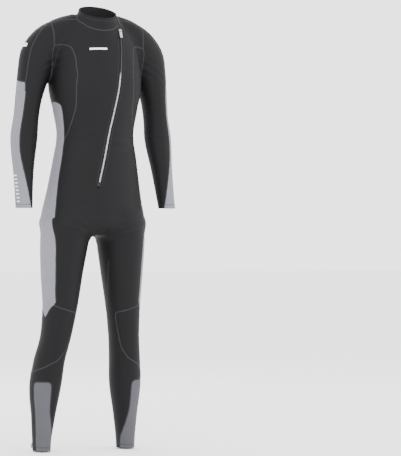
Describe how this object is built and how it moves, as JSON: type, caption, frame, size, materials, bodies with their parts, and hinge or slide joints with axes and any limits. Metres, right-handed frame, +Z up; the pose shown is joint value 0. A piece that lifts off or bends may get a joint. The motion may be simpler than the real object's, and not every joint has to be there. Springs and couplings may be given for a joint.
{
  "type": "full wetsuit",
  "caption": "Full-length neoprene wetsuit filled out as worn, with a slanted chest zip, a high collar, panelled long sleeves and legs, and zips at wrists and ankles.",
  "frame": {"origin": "middle of the neck opening, 1440 mm above the ankle hems, where a hanger or a wearer carries the suit", "axes": "+Z up along the body, -Y the way the chest faces, +X towards the wearer's left side"},
  "size_m": [0.565, 0.255, 1.4672],
  "materials": {
    "black_neoprene": "smooth knitted nylon face on foam rubber, matt with a soft sheen",
    "grey_neoprene": "light grey knitted nylon face on foam rubber, matt",
    "shin_neoprene": "mid grey knitted nylon face on foam rubber, matt",
    "zip_tape": "black woven polyester tape",
    "zip_teeth": "light grey moulded teeth, satin",
    "zip_metal": "bright plated metal, polished"
  },
  "bodies": {
    "torso": {"collar": "black_neoprene", "front_panel": "black_neoprene", "back_panel": "black_neoprene", "main_zip_tape": "zip_tape", "main_zip_teeth": "zip_teeth", "side_panel_right": "black_neoprene", "flank_right": "grey_neoprene", "shoulder_cap_right": "black_neoprene", "sleeve_root_right": "black_neoprene", "hip_right": "black_neoprene", "side_panel_left": "black_neoprene", "flank_left": "grey_neoprene", "shoulder_cap_left": "black_neoprene", "sleeve_root_left": "black_neoprene", "hip_left": "black_neoprene"},
    "main_slider": {"main_zip_slider": "zip_metal"},
    "main_pull": {"main_zip_pull": "zip_metal"},
    "upper_arm_right": {"upper_sleeve_right": "black_neoprene", "upper_sleeve_grey_right": "grey_neoprene", "elbow_sleeve_right": "black_neoprene", "elbow_sleeve_grey_right": "grey_neoprene"},
    "lower_arm_right": {"forearm_right": "black_neoprene", "forearm_grey_right": "grey_neoprene", "wrist_zip_right_tape": "zip_tape", "wrist_zip_right_teeth": "zip_teeth"},
    "wrist_slider_right": {"wrist_zip_right_slider": "zip_metal"},
    "wrist_pull_right": {"wrist_zip_right_pull": "zip_metal"},
    "upper_leg_right": {"thigh_front_right": "black_neoprene", "thigh_back_right": "black_neoprene", "thigh_grey_right": "grey_neoprene", "knee_right": "black_neoprene"},
    "lower_leg_right": {"shin_right": "black_neoprene", "shin_grey_right": "shin_neoprene", "ankle_zip_right_tape": "zip_tape", "ankle_zip_right_teeth": "zip_teeth"},
    "ankle_slider_right": {"ankle_zip_right_slider": "zip_metal"},
    "ankle_pull_right": {"ankle_zip_right_pull": "zip_metal"},
    "upper_arm_left": {"upper_sleeve_left": "black_neoprene", "upper_sleeve_grey_left": "grey_neoprene", "elbow_sleeve_left": "black_neoprene", "elbow_sleeve_grey_left": "grey_neoprene"},
    "lower_arm_left": {"forearm_left": "black_neoprene", "forearm_grey_left": "grey_neoprene", "wrist_zip_left_tape": "zip_tape", "wrist_zip_left_teeth": "zip_teeth"},
    "wrist_slider_left": {"wrist_zip_left_slider": "zip_metal"},
    "wrist_pull_left": {"wrist_zip_left_pull": "zip_metal"},
    "upper_leg_left": {"thigh_front_left": "black_neoprene", "thigh_back_left": "black_neoprene", "thigh_grey_left": "grey_neoprene", "knee_left": "black_neoprene"},
    "lower_leg_left": {"shin_left": "black_neoprene", "shin_grey_left": "shin_neoprene", "ankle_zip_left_tape": "zip_tape", "ankle_zip_left_teeth": "zip_teeth"},
    "ankle_slider_left": {"ankle_zip_left_slider": "zip_metal"},
    "ankle_pull_left": {"ankle_zip_left_pull": "zip_metal"}
  },
  "joints": [
    {"name": "main_zip_run", "type": "hinge", "parent": "torso", "child": "main_slider", "pos_m": [0.05786, 0.16755, -0.22302], "axis": [0.9925, -0.0537, -0.1102], "range_deg": [0, 37]},
    {"name": "main_zip_pull_lift", "type": "hinge", "parent": "main_slider", "child": "main_pull", "pos_m": [0.0629, -0.0786, -0.0577], "axis": [-0.9925, 0.0537, 0.1102], "range_deg": [0, 120]},
    {"name": "shoulder_right", "type": "hinge", "parent": "torso", "child": "upper_arm_right", "pos_m": [-0.19, 0.01, -0.15], "axis": [0, 1, 0], "range_deg": [-4, 70], "stiffness_Nm_per_rad": 3, "deforming": ["shoulder_cap_right", "sleeve_root_right"]},
    {"name": "elbow_right", "type": "hinge", "parent": "upper_arm_right", "child": "lower_arm_right", "pos_m": [-0.239, 0.017, -0.405], "axis": [-1, 0, 0], "range_deg": [0, 85], "stiffness_Nm_per_rad": 1, "deforming": ["elbow_sleeve_right", "elbow_sleeve_grey_right"]},
    {"name": "hip_right", "type": "hinge", "parent": "torso", "child": "upper_leg_right", "pos_m": [-0.09, 0, -0.67], "axis": [-1, 0, 0], "range_deg": [-15, 50], "stiffness_Nm_per_rad": 6, "deforming": ["hip_right"]},
    {"name": "knee_right", "type": "hinge", "parent": "upper_leg_right", "child": "lower_leg_right", "pos_m": [-0.115, 0.035, -1.013], "axis": [1, 0, 0], "range_deg": [0, 90], "stiffness_Nm_per_rad": 2, "deforming": ["knee_right"]},
    {"name": "wrist_zip_run_right", "type": "slide", "parent": "lower_arm_right", "child": "wrist_slider_right", "axis": [-0.0814, 0.1979, 0.9768], "range_m": [0, 0.095]},
    {"name": "wrist_zip_pull_lift_right", "type": "hinge", "parent": "wrist_slider_right", "child": "wrist_pull_right", "pos_m": [-0.26304, 0.00962, -0.61984], "axis": [0.8812, 0.4723, -0.0222], "range_deg": [0, 120]},
    {"name": "ankle_zip_run_right", "type": "slide", "parent": "lower_leg_right", "child": "ankle_slider_right", "axis": [-0.0519, -0.0359, 0.998], "range_m": [0, 0.095]},
    {"name": "ankle_zip_pull_lift_right", "type": "hinge", "parent": "ankle_slider_right", "child": "ankle_pull_right", "pos_m": [-0.17497, 0.11454, -1.42001], "axis": [0.736, 0.6741, 0.0625], "range_deg": [0, 120]},
    {"name": "shoulder_left", "type": "hinge", "parent": "torso", "child": "upper_arm_left", "pos_m": [0.19, 0.01, -0.15], "axis": [0, -1, 0], "range_deg": [-4, 70], "stiffness_Nm_per_rad": 3, "deforming": ["shoulder_cap_left", "sleeve_root_left"]},
    {"name": "elbow_left", "type": "hinge", "parent": "upper_arm_left", "child": "lower_arm_left", "pos_m": [0.239, 0.017, -0.405], "axis": [-1, 0, 0], "range_deg": [0, 85], "stiffness_Nm_per_rad": 1, "deforming": ["elbow_sleeve_left", "elbow_sleeve_grey_left"]},
    {"name": "hip_left", "type": "hinge", "parent": "torso", "child": "upper_leg_left", "pos_m": [0.09, 0, -0.67], "axis": [-1, 0, 0], "range_deg": [-15, 50], "stiffness_Nm_per_rad": 6, "deforming": ["hip_left"]},
    {"name": "knee_left", "type": "hinge", "parent": "upper_leg_left", "child": "lower_leg_left", "pos_m": [0.115, 0.035, -1.013], "axis": [1, 0, 0], "range_deg": [0, 90], "stiffness_Nm_per_rad": 2, "deforming": ["knee_left"]},
    {"name": "wrist_zip_run_left", "type": "slide", "parent": "lower_arm_left", "child": "wrist_slider_left", "axis": [0.0816, 0.1981, 0.9768], "range_m": [0, 0.095]},
    {"name": "wrist_zip_pull_lift_left", "type": "hinge", "parent": "wrist_slider_left", "child": "wrist_pull_left", "pos_m": [0.26304, 0.00961, -0.61984], "axis": [0.8812, -0.4723, 0.0222], "range_deg": [0, 120]},
    {"name": "ankle_zip_run_left", "type": "slide", "parent": "lower_leg_left", "child": "ankle_slider_left", "axis": [0.0522, -0.0357, 0.998], "range_m": [0, 0.095]},
    {"name": "ankle_zip_pull_lift_left", "type": "hinge", "parent": "ankle_slider_left", "child": "ankle_pull_left", "pos_m": [0.175, 0.11457, -1.42001], "axis": [0.736, -0.6741, -0.0626], "range_deg": [0, 120]}
  ]
}
